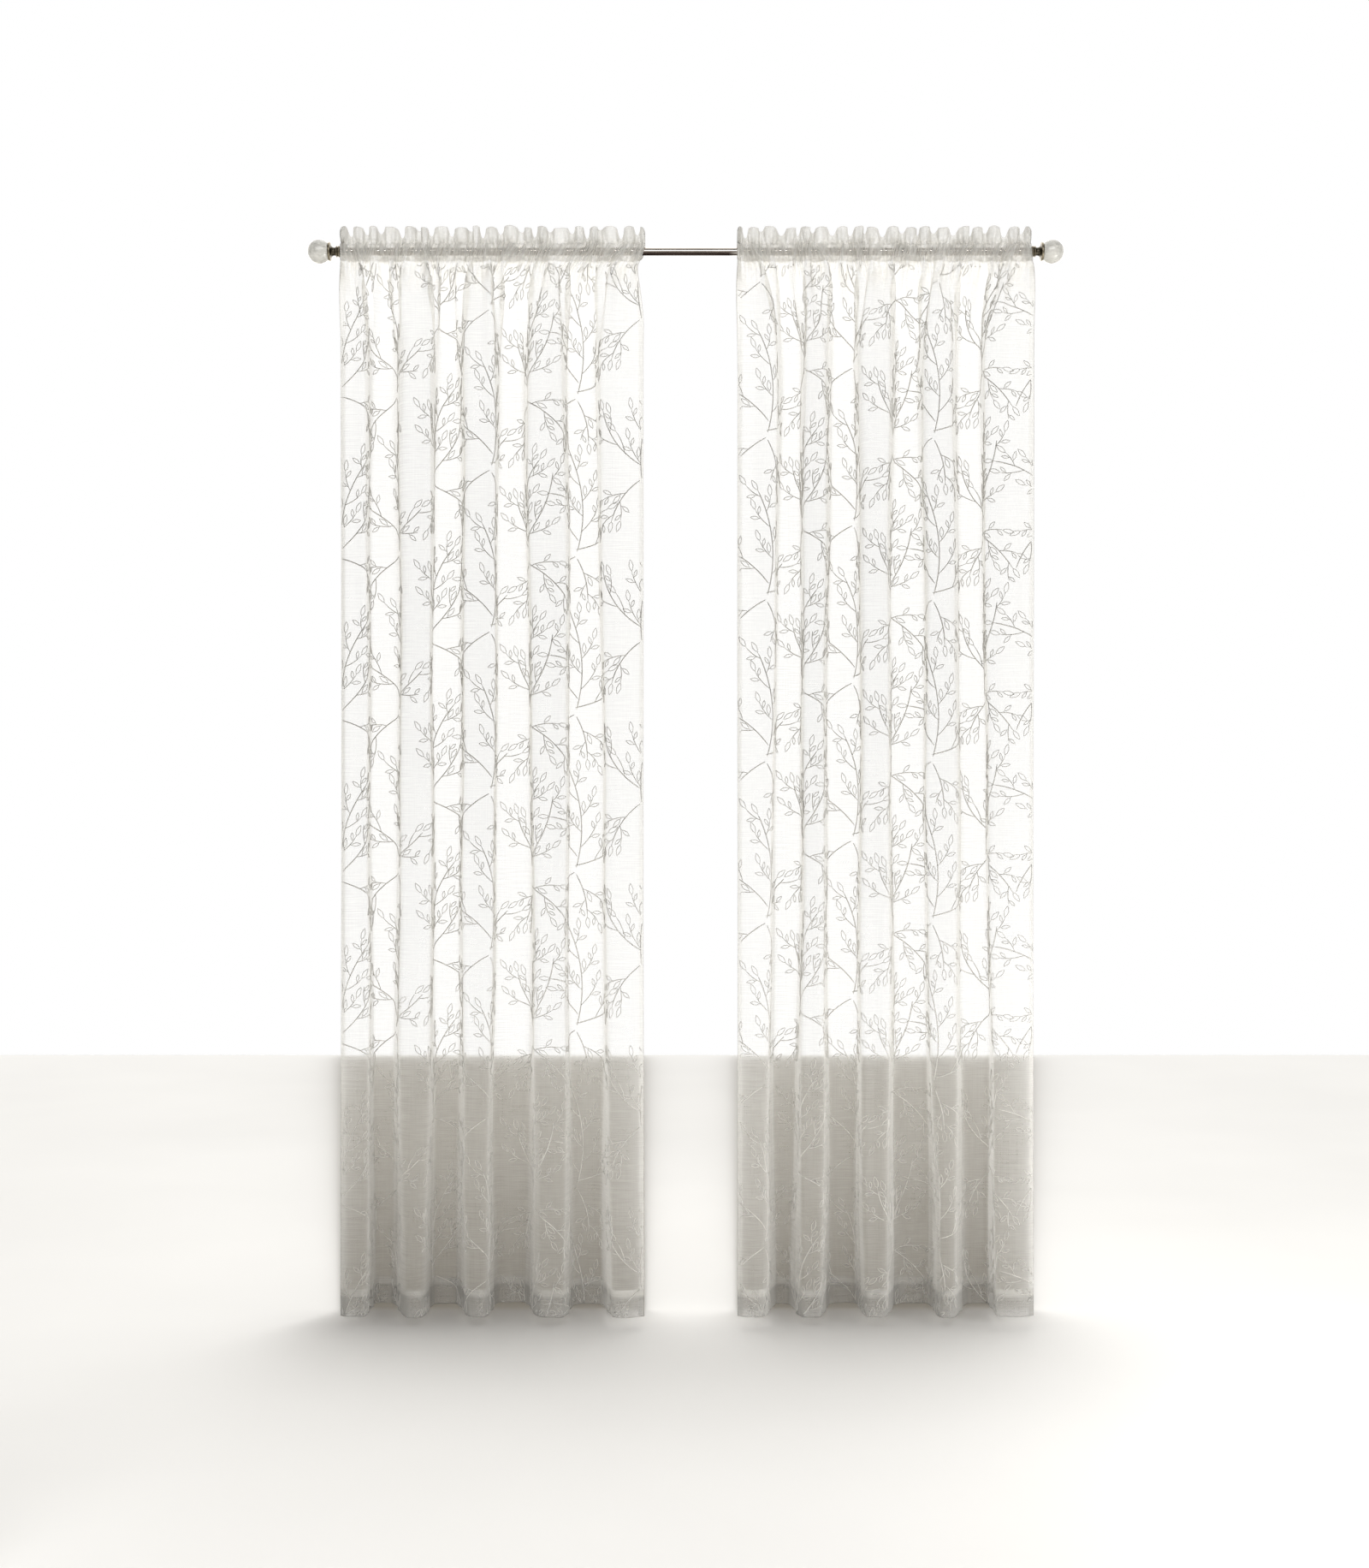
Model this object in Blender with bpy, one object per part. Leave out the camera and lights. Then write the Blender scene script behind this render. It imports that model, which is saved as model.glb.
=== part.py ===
"""Two rod pocket curtains of sheer voile, gathered on one rod with a ball finial at each end.

Metres, +Z up. X runs along the rod, -Y faces the room, and the origin is the middle of the rod's axis.
"""

import math

import bmesh
import bpy
from mathutils import Matrix, Vector

# Rod and finials
ROD_RADIUS = 0.008
ROD_HALF_LENGTH = 0.6815
ROD_SIDES = 20
PIECE_GAP = 0.0003
NECK_SIDES = 18
BALL_RADIUS = 0.0245
BALL_SEAT_RADIUS = 0.0172
BALL_SIDES = 22
BALL_RINGS = 14

# Heights of a panel, from the rod's axis
HEADING_TOP = 0.046
SEAM_ABOVE = 0.0165
SEAM_BELOW = -0.0185
BODY_TOP = -0.0130
HEM_BOTTOM = -2.088
HEM_HEIGHT = 0.053
HEM_STEP = 0.004

# Thickness of the cloth, and the room it leaves around the rod
CLOTH_THICKNESS = 0.0020
HEM_THICKNESS = 0.0030
POCKET_CLEARANCE = 0.0012
POCKET_SIDES = 20
POCKET_OVERRUN = 0.03

# Shape of the folds that hang below the pocket
FOLD_CORNER = 0.011
FOLD_CROWN = 0.0035
EDGE_TURN = 0.006
STEPS_PER_SPAN = 2
GATHER_END = -0.28
DEPTH_UNDER_GATHER = 0.86

# Rows of the body, from inside the pocket's seam down to the hem
BODY_ROWS = (BODY_TOP, -0.032, -0.065, -0.110, -0.180, GATHER_END, -0.700, -1.150, -1.650)

# Heights at which the fold tables give the places of the folds
TABLE_HEIGHTS = (-0.03, -0.16, -1.00, HEM_BOTTOM)

# Each row is one fold: its left edge at the four table heights, and how far it stands out,
# to the room (-) or to the window (+). The last row is the panel's right edge.
# columns: heading, gather, middle, hem, stand
LEFT_FOLDS = (
    (-0.671, -0.671, -0.671, -0.671, -0.041),
    (-0.634, -0.628, -0.622, -0.623, +0.040),
    (-0.572, -0.565, -0.564, -0.566, -0.043),
    (-0.502, -0.494, -0.500, -0.505, +0.042),
    (-0.436, -0.442, -0.439, -0.443, -0.040),
    (-0.374, -0.368, -0.377, -0.382, +0.043),
    (-0.309, -0.316, -0.303, -0.302, -0.042),
    (-0.242, -0.237, -0.231, -0.230, +0.039),
    (-0.180, -0.172, -0.163, -0.154, -0.044),
    (-0.101, -0.083, -0.083, -0.082, -0.044),
)
RIGHT_FOLDS = (
    (+0.102, +0.102, +0.102, +0.102, -0.042),
    (+0.175, +0.184, +0.173, +0.164, +0.041),
    (+0.228, +0.232, +0.229, +0.218, -0.040),
    (+0.286, +0.280, +0.279, +0.276, +0.042),
    (+0.346, +0.342, +0.344, +0.343, -0.044),
    (+0.402, +0.408, +0.404, +0.407, +0.043),
    (+0.462, +0.464, +0.475, +0.488, -0.041),
    (+0.528, +0.534, +0.537, +0.544, +0.040),
    (+0.590, +0.585, +0.595, +0.605, -0.043),
    (+0.682, +0.681, +0.680, +0.680, -0.043),
)

# The ruffle stands up above the upper seam, and below it the pocket swells round the rod.
# columns: height, half of the thickness, wave of the ruffle
LARGEST_WAVE = 0.0130
HEADING_ROWS = (
    (HEADING_TOP, 0.0013, LARGEST_WAVE),
    (0.0370, 0.0013, 0.0120),
    (0.0260, 0.0014, 0.0085),
    (SEAM_ABOVE, 0.0022, 0.0045),
    (0.0085, 0.0110, 0.0022),
    (0.0000, 0.0138, 0.0018),
    (-0.0085, 0.0110, 0.0014),
    (SEAM_BELOW, 0.0032, 0.0008),
)
POCKET_SWELL = 0.003
STEPS_PER_LOBE = 4
LOBE_WIDENING = 0.70

# The unevenness of the ruffle and of the gathers below it, as slow waves along the panel.
# columns: size, as a share of what it changes, and radians per lobe
LOBE_SHIFTS = ((0.14, 1.9), (0.05, 4.3))
LOBE_SIZES = ((0.16, 2.7), (0.10, 5.1))
TOP_SHIFTS = ((0.0015, 3.3), (0.0008, 7.1))

# Gathers between the pocket and the folds, one for each lobe of the ruffle
GATHER_DEPTH = 0.0065
GATHER_EARLY = 0.6

# columns: name, fold table, left end of the heading, right end, lobes, start of the unevenness
PANELS = (
    ("panel_left", LEFT_FOLDS, -0.680, -0.080, 18, 0.4),
    ("panel_right", RIGHT_FOLDS, 0.101, 0.680, 17, 2.1),
)

# Turned neck of a finial, from the rod outwards. columns: distance from the rod's end, radius
NECK_PROFILE = (
    (0.0000, 0.0098),
    (0.0022, 0.0110),
    (0.0044, 0.0092),
    (0.0066, 0.0112),
    (0.0088, 0.0086),
    (0.0118, 0.0080),
    (0.0140, 0.0098),
    (0.0160, 0.0148),
    (0.0182, 0.0176),
    (0.0212, 0.0180),
    (0.0230, BALL_SEAT_RADIUS),
)

VOILE = (0.93, 0.92, 0.89)
NICKEL = (0.74, 0.70, 0.66)
AGED_BRASS = (0.52, 0.46, 0.33)
CRACKLE_GLASS = (0.90, 0.91, 0.89)


def clear_scene():
    for found in list(bpy.data.objects):
        bpy.data.objects.remove(found)


def finish(name, colour, roughness, metallic=0.0):
    material = bpy.data.materials.new(name)
    material.use_nodes = True
    shader = material.node_tree.nodes["Principled BSDF"]
    shader.inputs["Base Color"].default_value = (*colour, 1.0)
    shader.inputs["Roughness"].default_value = roughness
    shader.inputs["Metallic"].default_value = metallic
    return material


def add_object(name, mesh, material=None):
    made = bpy.data.objects.new(name, mesh)
    bpy.context.scene.collection.objects.link(made)
    if material:
        mesh.materials.append(material)
    return made


def add_helper(name, mesh):
    """An object that only shapes another one, by a Boolean."""
    made = add_object(name, mesh)
    made.hide_render = True
    made.display_type = "WIRE"
    return made


def mesh_from(work, name, sharp_degrees=35):
    bmesh.ops.recalc_face_normals(work, faces=work.faces)
    mesh = bpy.data.meshes.new(name)
    work.to_mesh(mesh)
    work.free()
    mesh.shade_smooth()
    mesh.set_sharp_from_angle(angle=math.radians(sharp_degrees))
    return mesh


def boolean(target, name, operation, other):
    modifier = target.modifiers.new(name, "BOOLEAN")
    modifier.operation = operation
    modifier.object = other


def blend(start, end, share):
    return start + (end - start) * share


def ease(share):
    share = min(max(share, 0.0), 1.0)
    return share * share * (3 - 2 * share)


def curve_through(points, steps):
    """Points along a smooth curve through the given ones, with that many steps in each span."""
    ends = [2 * points[0] - points[1], *points, 2 * points[-1] - points[-2]]
    gaps = [math.sqrt((b - a).length) for a, b in zip(ends, ends[1:])]
    slopes = []
    for i in range(1, len(ends) - 1):
        before, after = gaps[i - 1], gaps[i]
        slope = (ends[i] - ends[i - 1]) / before + (ends[i + 1] - ends[i]) / after
        slopes.append(slope - (ends[i + 1] - ends[i - 1]) / (before + after))
    made = []
    for i in range(len(points) - 1):
        reach = gaps[i + 1]
        for step in range(steps):
            u = step / steps
            made.append(
                points[i] * (2 * u**3 - 3 * u**2 + 1)
                + slopes[i] * reach * (u**3 - 2 * u**2 + u)
                + points[i + 1] * (3 * u**2 - 2 * u**3)
                + slopes[i + 1] * reach * (u**3 - u**2)
            )
    made.append(points[-1])
    return made


def edge_at(fold, height):
    """A fold's left edge at a height, eased between the heights of the table."""
    levels = list(zip(TABLE_HEIGHTS, fold))
    for (upper, above), (lower, below) in zip(levels, levels[1:]):
        if height >= lower:
            return blend(above, below, ease((upper - height) / (upper - lower)))
    return levels[-1][1]


def fold_turns(folds, height):
    """The turns of a panel's folds at a height, seen from above, from its left edge to its right."""
    deep = blend(DEPTH_UNDER_GATHER, 1.0, ease(height / HEM_BOTTOM))
    turns = []
    for fold, following in zip(folds, folds[1:]):
        left, right = edge_at(fold, height), edge_at(following, height)
        stand = fold[4] * deep
        outward = math.copysign(1.0, stand)
        if fold is folds[0]:
            turns.append(Vector((left, stand - outward * EDGE_TURN)))
        turns.append(Vector((left + FOLD_CORNER, stand)))
        turns.append(Vector(((left + right) / 2, stand + outward * FOLD_CROWN)))
        turns.append(Vector((right - FOLD_CORNER, stand)))
        if following is folds[-1]:
            turns.append(Vector((right, stand - outward * EDGE_TURN)))
        else:
            turns.append(Vector((right, (stand + following[4] * deep) / 2)))
    return turns


def shares_along(points):
    """How far along its own length each point of a line is, from 0 to 1."""
    run = [0.0]
    for a, b in zip(points, points[1:]):
        run.append(run[-1] + (b - a).length)
    return [r / run[-1] for r in run]


def unevenness(waves, lobe, start):
    return sum(size * math.sin(pace * lobe + start) for size, pace in waves)


def body_line(folds, lobes, start, height, shares):
    """The middle of the cloth at a height: gathered under the pocket, and folded lower down."""
    folded = curve_through(fold_turns(folds, height), STEPS_PER_SPAN)
    left, right = edge_at(folds[0], height), edge_at(folds[-1], height)
    down = min((BODY_TOP - height) / (BODY_TOP - GATHER_END), 1.0)
    fallen = ease(down)
    gather = GATHER_DEPTH * math.sin(math.pi * down**GATHER_EARLY)
    line = []
    for point, share in zip(folded, shares):
        lobe = lobes * share
        x = blend(blend(left, right, share), point.x, fallen)
        size = gather * (1 + unevenness(LOBE_SIZES, lobe, start))
        line.append(Vector((x, point.y * fallen - size * math.cos(2 * math.pi * lobe))))
    return line


def normals_of(line):
    """Unit normals of a line seen from above, on its room side."""
    made = []
    for i in range(len(line)):
        along = line[min(i + 1, len(line) - 1)] - line[max(i - 1, 0)]
        made.append(Vector((along.y, -along.x)).normalized())
    return made


def lift(point, height):
    return Vector((point.x, point.y, height))


def closed_sheet(name, near_rows, far_rows):
    """One solid between a near and a far skin, each a list of rows of points."""
    work = bmesh.new()
    near = [[work.verts.new(point) for point in row] for row in near_rows]
    far = [[work.verts.new(point) for point in row] for row in far_rows]
    strips = []
    for skin in (near, far):
        strips += zip(skin, skin[1:])
    strips += [(near[0], far[0]), (near[-1], far[-1])]
    for side in (0, -1):
        strips.append(([row[side] for row in near], [row[side] for row in far]))
    for first, second in strips:
        for i in range(len(first) - 1):
            work.faces.new((first[i], first[i + 1], second[i + 1], second[i]))
    return mesh_from(work, name)


def body_mesh(name, folds, lobes, start):
    """The hanging cloth from the pocket's lower seam to the hem, which is thicker."""
    hem_line = curve_through(fold_turns(folds, HEM_BOTTOM), STEPS_PER_SPAN)
    shares = shares_along(hem_line)
    hem_top = HEM_BOTTOM + HEM_HEIGHT
    rows = [(height, CLOTH_THICKNESS) for height in BODY_ROWS]
    rows += [
        (hem_top + HEM_STEP, CLOTH_THICKNESS),
        (hem_top, HEM_THICKNESS),
        (HEM_BOTTOM, HEM_THICKNESS),
    ]
    near_rows, far_rows = [], []
    for height, thickness in rows:
        line = body_line(folds, lobes, start, height, shares)
        normals = normals_of(line)
        near_rows.append([lift(p + n * thickness / 2, height) for p, n in zip(line, normals)])
        far_rows.append([lift(p - n * thickness / 2, height) for p, n in zip(line, normals)])
    return closed_sheet(name, near_rows, far_rows)


def heading_line(left, right, lobes, start, wave):
    """The heading seen from above: a ruffle of uneven, wide-headed lobes."""
    line = []
    lobe_width = (right - left) / lobes
    for step in range(lobes * STEPS_PER_LOBE + 1):
        lobe = step / STEPS_PER_LOBE
        turn = 2 * math.pi * lobe
        shift = unevenness(LOBE_SHIFTS, lobe, start) * math.sin(math.pi * lobe / lobes)
        widened = LOBE_WIDENING * wave / LARGEST_WAVE * math.sin(2 * turn) / (4 * math.pi)
        x = left + lobe_width * (lobe + shift + widened)
        size = wave * (1 + unevenness(LOBE_SIZES, lobe, start))
        line.append(Vector((x, -size * math.cos(turn))))
    return line


def heading_mesh(name, left, right, lobes, start):
    """The ruffle, the seam under it and the pocket, before the rod's tunnel is cut."""
    near_rows, far_rows = [], []
    for height, half, wave in HEADING_ROWS:
        line = heading_line(left, right, lobes, start, wave)
        swollen = half > POCKET_SWELL
        outwards = [Vector((0, -1))] * len(line) if swollen else normals_of(line)
        heights = [height] * len(line)
        if height == HEADING_TOP:
            for i in range(len(line)):
                heights[i] += unevenness(TOP_SHIFTS, i / STEPS_PER_LOBE, start)
        near_rows.append([lift(p + n * half, z) for p, n, z in zip(line, outwards, heights)])
        far_rows.append([lift(p - n * half, z) for p, n, z in zip(line, outwards, heights)])
    return closed_sheet(name, near_rows, far_rows)


def along_rod(work):
    """Turns what was made along Z so that it lies along X."""
    bmesh.ops.rotate(work, verts=work.verts, matrix=Matrix.Rotation(math.pi / 2, 3, "Y"))


def cylinder_mesh(name, radius, start, end, sides):
    work = bmesh.new()
    bmesh.ops.create_cone(
        work, cap_ends=True, segments=sides, radius1=radius, radius2=radius, depth=end - start
    )
    along_rod(work)
    bmesh.ops.translate(work, verts=work.verts, vec=((start + end) / 2, 0, 0))
    return mesh_from(work, name)


def add_panel(name, folds, left, right, lobes, start, material):
    panel = add_object(name, heading_mesh(name, left, right, lobes, start), material)
    tunnel = cylinder_mesh(
        f"{name}_tunnel",
        ROD_RADIUS + POCKET_CLEARANCE,
        left - POCKET_OVERRUN,
        right + POCKET_OVERRUN,
        POCKET_SIDES,
    )
    body = add_helper(f"{name}_body", body_mesh(f"{name}_body", folds, lobes, start))
    boolean(panel, "hanging cloth", "UNION", body)
    boolean(panel, "tunnel for the rod", "DIFFERENCE", add_helper(f"{name}_tunnel", tunnel))


def neck_mesh(name, side):
    """The turned neck, with a flat end face against the rod and a flat cup face under the ball."""
    work = bmesh.new()
    rings = []
    for distance, radius in NECK_PROFILE:
        x = side * (ROD_HALF_LENGTH + PIECE_GAP + distance)
        ring = []
        for i in range(NECK_SIDES):
            turn = 2 * math.pi * i / NECK_SIDES
            ring.append(work.verts.new((x, radius * math.cos(turn), radius * math.sin(turn))))
        rings.append(ring)
    for inner, outer in zip(rings, rings[1:]):
        for i in range(NECK_SIDES):
            j = (i + 1) % NECK_SIDES
            work.faces.new((inner[i], inner[j], outer[j], outer[i]))
    work.faces.new(rings[0])
    work.faces.new(rings[-1])
    return mesh_from(work, name)


def ball_mesh(name, side):
    """A ball with a small flat where it sits in the neck's cup."""
    seat = ROD_HALF_LENGTH + 2 * PIECE_GAP + NECK_PROFILE[-1][0]
    centre = seat + math.sqrt(BALL_RADIUS**2 - BALL_SEAT_RADIUS**2)
    work = bmesh.new()
    bmesh.ops.create_uvsphere(
        work, u_segments=BALL_SIDES, v_segments=BALL_RINGS, radius=BALL_RADIUS
    )
    along_rod(work)
    bmesh.ops.translate(work, verts=work.verts, vec=(side * centre, 0, 0))
    whole = list(work.verts) + list(work.edges) + list(work.faces)
    cut = bmesh.ops.bisect_plane(
        work, geom=whole, plane_co=(side * seat, 0, 0), plane_no=(side, 0, 0), clear_inner=True
    )
    rim = [part for part in cut["geom_cut"] if isinstance(part, bmesh.types.BMEdge)]
    bmesh.ops.holes_fill(work, edges=rim)
    return mesh_from(work, name)


def main():
    clear_scene()
    voile = finish("voile", VOILE, 0.85)
    for name, folds, left, right, lobes, start in PANELS:
        add_panel(name, folds, left, right, lobes, start, voile)
    nickel = finish("nickel", NICKEL, 0.2, metallic=1.0)
    rod = cylinder_mesh("rod", ROD_RADIUS, -ROD_HALF_LENGTH, ROD_HALF_LENGTH, ROD_SIDES)
    add_object("rod", rod, nickel)
    brass = finish("aged_brass", AGED_BRASS, 0.35, metallic=1.0)
    glass = finish("crackle_glass", CRACKLE_GLASS, 0.1)
    for end, side in (("left", -1), ("right", 1)):
        add_object(f"finial_neck_{end}", neck_mesh(f"finial_neck_{end}", side), brass)
        add_object(f"finial_ball_{end}", ball_mesh(f"finial_ball_{end}", side), glass)


main()
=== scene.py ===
"""Two sheer voile rod pocket curtains on a rod with ball finials: the cloth, its stitching and finishes.

Metres, +Z up. X runs along the rod, -Y faces the room, and the origin is the middle of the rod's axis.
"""

import math

import bpy
import numpy as np
from bpy.props import FloatProperty, FloatVectorProperty, PointerProperty
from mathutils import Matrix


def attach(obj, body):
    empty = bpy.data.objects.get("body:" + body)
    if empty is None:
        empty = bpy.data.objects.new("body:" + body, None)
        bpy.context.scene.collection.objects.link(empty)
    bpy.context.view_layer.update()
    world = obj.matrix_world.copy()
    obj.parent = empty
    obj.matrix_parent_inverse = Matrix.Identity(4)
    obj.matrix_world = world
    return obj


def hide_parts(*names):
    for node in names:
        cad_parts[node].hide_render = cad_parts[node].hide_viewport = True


bl_info = {
    "name": "Sheer Voile Curtain Pair",
    "version": (1, 0, 0),
    "blender": (4, 5, 0),
    "location": "View3D > Sidebar > Curtain",
    "description": "Sews two sheer embroidered rod pocket panels and finishes the rod they hang on",
    "category": "Object",
}

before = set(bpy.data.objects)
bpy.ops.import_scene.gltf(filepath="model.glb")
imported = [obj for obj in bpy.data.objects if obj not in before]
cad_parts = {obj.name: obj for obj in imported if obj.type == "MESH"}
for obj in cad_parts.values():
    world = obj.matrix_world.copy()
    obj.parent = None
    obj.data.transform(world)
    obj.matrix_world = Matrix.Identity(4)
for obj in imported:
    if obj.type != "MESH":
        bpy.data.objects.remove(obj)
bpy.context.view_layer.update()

# Rod and finials. columns of the ends: name, direction along X
ENDS = (("left", -1), ("right", 1))
ROD_RADIUS = 0.008
ROD_HALF_LENGTH = 0.6815
ROD_WALL = 0.0008
ROD_ROUNDING = 0.0002
TUBE_DEPTH = 0.03
NECK_ROUNDING = 0.0004
PIECE_GAP = 0.0003
BALL_RADIUS = 0.0245
BALL_SEAT_RADIUS = 0.0172

# Heights of a panel, from the rod's axis
HEADING_TOP = 0.046
SEAM_ABOVE = 0.0165
SEAM_BELOW = -0.0185
HEM_BOTTOM = -2.088
HEM_TOP = HEM_BOTTOM + 0.053
HEM_TURNED_IN = 0.020
GATHER_END = -0.28
FINE_ROWS_END = -0.36

# Spacing of the cloth's rows and columns
COLUMNS = 560
SIDE_HEM_STEPS = 3
SIDE_HEM = 0.012
FINE_ROW = 0.0075
PLAIN_ROW = 0.024
RUN_SMOOTHING = 9

# Layers of cloth at the hems and in the heading
LAYER_GAP = 0.0008
HEM_LEVELS = (0.0, 0.003, 0.011, 0.022, 0.033, 0.043)
TURNED_IN_SHARES = (0.0, 0.5, 0.95)
HEM_LAYERS = {"turned_in": 1, "hem_back": 2, "hem_fold": 1}
HEM_WAVE = 0.0012
RUFFLE_TOP_STEP = 0.0012
PUFF_PLACE = 0.8
# Where rows are closer than this, the cloth's slant between them counts in its flat length, up to a limit
PLAIN_STEP = 0.02
LARGEST_SIDESTEP = 0.004
POCKET_STEPS = 10
RUFFLE_STEPS = 8
POCKET_CLEARANCE = 0.0012
SEAM_HALF = 0.0006
RUFFLE_PUFF = 0.0034

# Shape of the folds that hang below the pocket
FOLD_CROWN = 0.0035
EDGE_TURN = 0.006
STEPS_PER_SPAN = 10
DEPTH_ROUNDS = 4
DEEPEST = 1.19
SPREAD_AT_SEAM = 0.35
SPREAD_PACE = 3
DEPTH_PACE = 2.2
# columns: size, radians per metre, radians per fold
DEPTH_SWAY = (0.035, 3.3, 1.9)
# How far the folds splay outwards from the middle of the rod, for each metre that they stand back
FOLD_SPLAY = 0.256
# How the folds' edges sway on the way down.
# columns: size, radians per metre, radians per fold, share of start
EDGE_SWAYS = ((0.0022, 4.1, 2.3, 1), (0.0012, 11.0, 4.7, 0))
# Soft waves across the folds. columns: size, wavelength, sway, radians per metre down, share of start
SOFT_WAVES = ((0.0011, 0.061, 1.1, 2.3, 1), (0.0008, 0.037, 1.7, 1.7, 2))

# Half the width of the turn from one fold to the next. columns: drop below the rod, half width
FOLD_CORNERS = ((0.0, 0.0110), (0.45, 0.0066), (1.0, 0.0054), (1.55, 0.0068), (-HEM_BOTTOM, 0.0130))

# Gathers: crinkles in the pocket, four to a lobe of the ruffle, and wider ridges below it
CRINKLES_PER_LOBE = 4
LARGEST_CRINKLE = 0.0052
LARGEST_RIDGE = 0.0105
CRINKLE_END = -0.085
CRINKLE_SHARPNESS = 1.3
RIDGE_SHARPNESS = 1.9
SMALLEST_RUN = 0.2
# Share of the cloth's slack that goes into crinkles: in the folds, in the pocket, over it and at the top
FINE_SHARES = (0.12, 0.70, 0.55, 0.10)
CRINKLES_LOST_BELOW = 0.9
RIDGES_LOST_IN_POCKET = 0.75
RIDGE_FADE = 0.010
EVENING_START = -0.005
EVENING_END = -0.035
# How the crinkles stray from an even pace. columns: size, radians per lobe, share of start
CRINKLE_SWAYS = ((1.2, 1.3, 1), (0.8, 3.7, 2))
# columns: size, radians per lobe, radians per metre up
CRINKLE_SLANT = (0.5, 2.6, 90)
# columns: size, radians per lobe, share of start
CRINKLE_SIZES = (0.35, 2.1, 3)
# columns: size, radians per lobe
RIDGE_SWAY = (0.9, 2.2)

# Heights at which the fold tables give the places of the folds
TABLE_HEIGHTS = (-0.03, -0.16, -1.00, HEM_BOTTOM)

# Each row is one fold: its left edge at the four table heights, and how far it stands out,
# forwards (-) or back (+). The last row is the panel's right edge.
# columns: heading, gather, middle, hem, stand
LEFT_FOLDS = (
    (-0.680, -0.681, -0.681, -0.681, -0.041),
    (-0.634, -0.628, -0.622, -0.623, +0.040),
    (-0.572, -0.565, -0.564, -0.566, -0.043),
    (-0.502, -0.494, -0.500, -0.505, +0.042),
    (-0.436, -0.442, -0.439, -0.443, -0.040),
    (-0.374, -0.368, -0.377, -0.382, +0.043),
    (-0.309, -0.316, -0.303, -0.302, -0.042),
    (-0.242, -0.237, -0.231, -0.230, +0.039),
    (-0.180, -0.172, -0.163, -0.154, -0.044),
    (-0.095, -0.083, -0.083, -0.082, -0.044),
)
RIGHT_FOLDS = (
    (+0.102, +0.102, +0.102, +0.102, -0.042),
    (+0.175, +0.184, +0.173, +0.164, +0.041),
    (+0.228, +0.232, +0.229, +0.218, -0.040),
    (+0.286, +0.280, +0.279, +0.276, +0.042),
    (+0.346, +0.342, +0.344, +0.343, -0.044),
    (+0.402, +0.408, +0.404, +0.407, +0.043),
    (+0.462, +0.464, +0.475, +0.488, -0.041),
    (+0.528, +0.534, +0.537, +0.544, +0.040),
    (+0.590, +0.585, +0.595, +0.605, -0.043),
    (+0.686, +0.687, +0.687, +0.687, -0.043),
)

# The ruffle's waves at each height. columns: height, wave
RUFFLE_WAVES = (
    (SEAM_BELOW, 0.0008),
    (0.0, 0.0018),
    (SEAM_ABOVE, 0.0045),
    (0.026, 0.0085),
    (0.037, 0.0120),
    (HEADING_TOP, 0.0130),
)
LARGEST_WAVE = RUFFLE_WAVES[-1][1]
LOBE_WIDENING = 0.66
LOBES_OVER_HOLLOWS = 0.36

# Notches in the ruffle's top edge, in the hollows between its lobes, and its rounded ends
LARGEST_NOTCH = 0.0160
NOTCH_SHARPNESS = 4.6
USUAL_NOTCH = 0.64
# columns: size, radians per hollow
NOTCH_DEPTHS = ((0.34, 2.4), (0.24, 4.1))
END_ROUNDING = 0.010

# Unevenness of the ruffle, as slow waves along the panel. columns: size, radians per lobe
LOBE_SHIFTS = ((0.14, 1.9), (0.05, 4.3))
CRINKLE_SHIFTS = ((0.043, 9.7), (0.017, 21.0))
LOBE_SIZES = ((0.16, 2.7), (0.10, 5.1))
TOP_SHIFTS = ((0.0015, 3.3), (0.0008, 7.1))

# columns: side, fold table, left end of the heading, right end, lobes, start of the unevenness
PANELS = (
    ("left", LEFT_FOLDS, -0.680, -0.080, 18, 0.4),
    ("right", RIGHT_FOLDS, 0.101, 0.680, 17, 2.1),
)

# The stitched branches, in millimetres of flat cloth. One repeat is stitched again and again
# over the cloth, and every other column of repeats is dropped by half.
REPEAT_WIDTH = 420.0
REPEAT_HEIGHT = 315.0
HALF_DROP = REPEAT_HEIGHT / 2
# columns: right, up, heading in degrees, length, bend in degrees, twigs, side of the first, bare share
BRANCHES = (
    (66, 4, 100, 215, -48, 7, 1, 0.20),
    (66, 36, 40, 170, 44, 5, -1, 0.26),
    (62, 40, 152, 130, -52, 4, -1, 0.28),
    (64, 16, -14, 138, -44, 4, 1, 0.32),
    (60, 10, 214, 96, 40, 3, -1, 0.36),
    (272, 40, 74, 205, 42, 6, -1, 0.22),
    (274, 62, 126, 160, 46, 5, 1, 0.26),
    (270, 44, 10, 138, 40, 4, 1, 0.30),
    (268, 30, 206, 132, 44, 4, -1, 0.34),
    (272, 26, -60, 84, -30, 3, 1, 0.40),
)
STEM_STEP = 10.0
TWIG_STEP = 9.0
STALK_LENGTH = 4.5
LEAF_LENGTH = 19.0
LEAF_WIDTH = 7.6
LEAF_SIDES = 8
LEAF_ANGLE = 54.0
LEAF_CURL = 14
END_LEAF = 1.15
ROOM_FOR_LEAF = 11.0
ROOM_FOR_STEM = 5.5
ROOM_FOR_TWIG = 10.0
# Where the last twig leaves its stem, and the first leaf its twig, as shares of their lengths
LAST_TWIG = 0.93
FIRST_LEAF = 0.80
LEAF_SPAN = 0.56
TWIG_SIZE = 1.35
TWIG_SHRINK = 0.65
TWIG_UNEVEN = 0.16
TWIG_LENGTH = 40.0
LONG_TWIG = 37.0
TWIG_ANGLE = 46.0
TWIG_BEND = 26.0
STEM_HALF_WIDTH = 0.0011
TWIG_HALF_WIDTH = 0.0009
LEAF_HALF_WIDTH = 0.0007
THREAD_HEIGHT = 0.0010
THREAD_SUNK = 0.0001
THREAD_TAPER = 0.6
EDGE_MARGIN = 0.004
# How far the first repeat starts outside the left panel's lower left corner, and what the right one adds
CHART_START = (-60.0, -40.0)
CHART_STEP = (-150.0, -95.0)

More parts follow.
